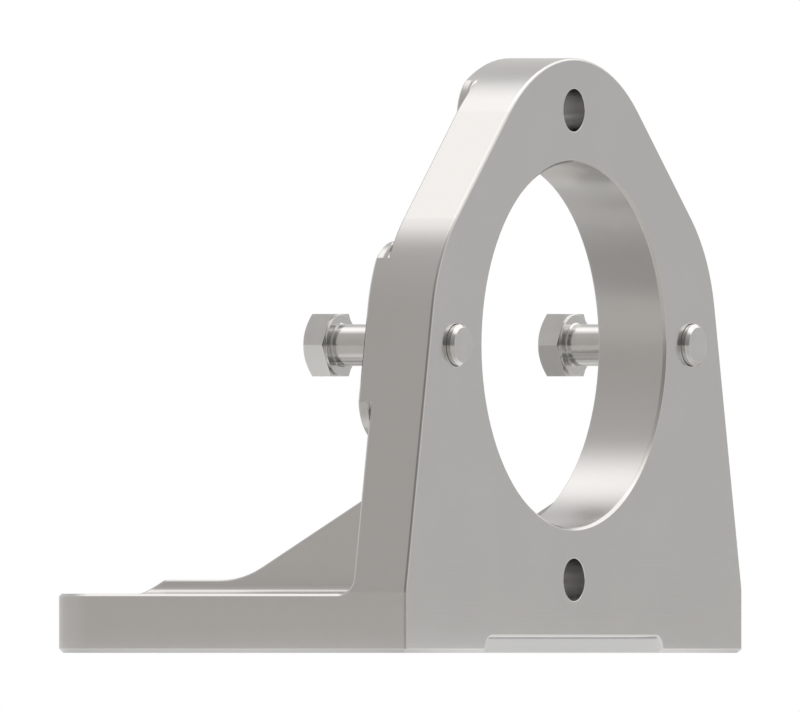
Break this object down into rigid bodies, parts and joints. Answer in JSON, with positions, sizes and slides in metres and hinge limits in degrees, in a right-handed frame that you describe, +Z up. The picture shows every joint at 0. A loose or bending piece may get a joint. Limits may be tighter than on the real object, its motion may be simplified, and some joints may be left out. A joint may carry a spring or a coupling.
{
  "type": "cylinder foot mount",
  "caption": "Cast foot that carries a fluid power cylinder by its end face: an upright wall with a pilot bore and bolt holes on a ribbed foot, with two loose hexagon bolts.",
  "frame": {"origin": "where the axis of the pilot bore meets the flat front face that the cylinder bolts to", "axes": "X across the front face, +Y back over the foot, +Z up from the foot's underside"},
  "size_m": [0.258, 0.165, 0.228],
  "materials": {
    "cast_body": "fine blasted casting with machined faces",
    "bolt_steel": "bright zinc plated"
  },
  "bodies": {
    "root": {"foot_bracket": "cast_body", "left_bolt": "bolt_steel", "right_bolt": "bolt_steel"}
  },
  "joints": []
}
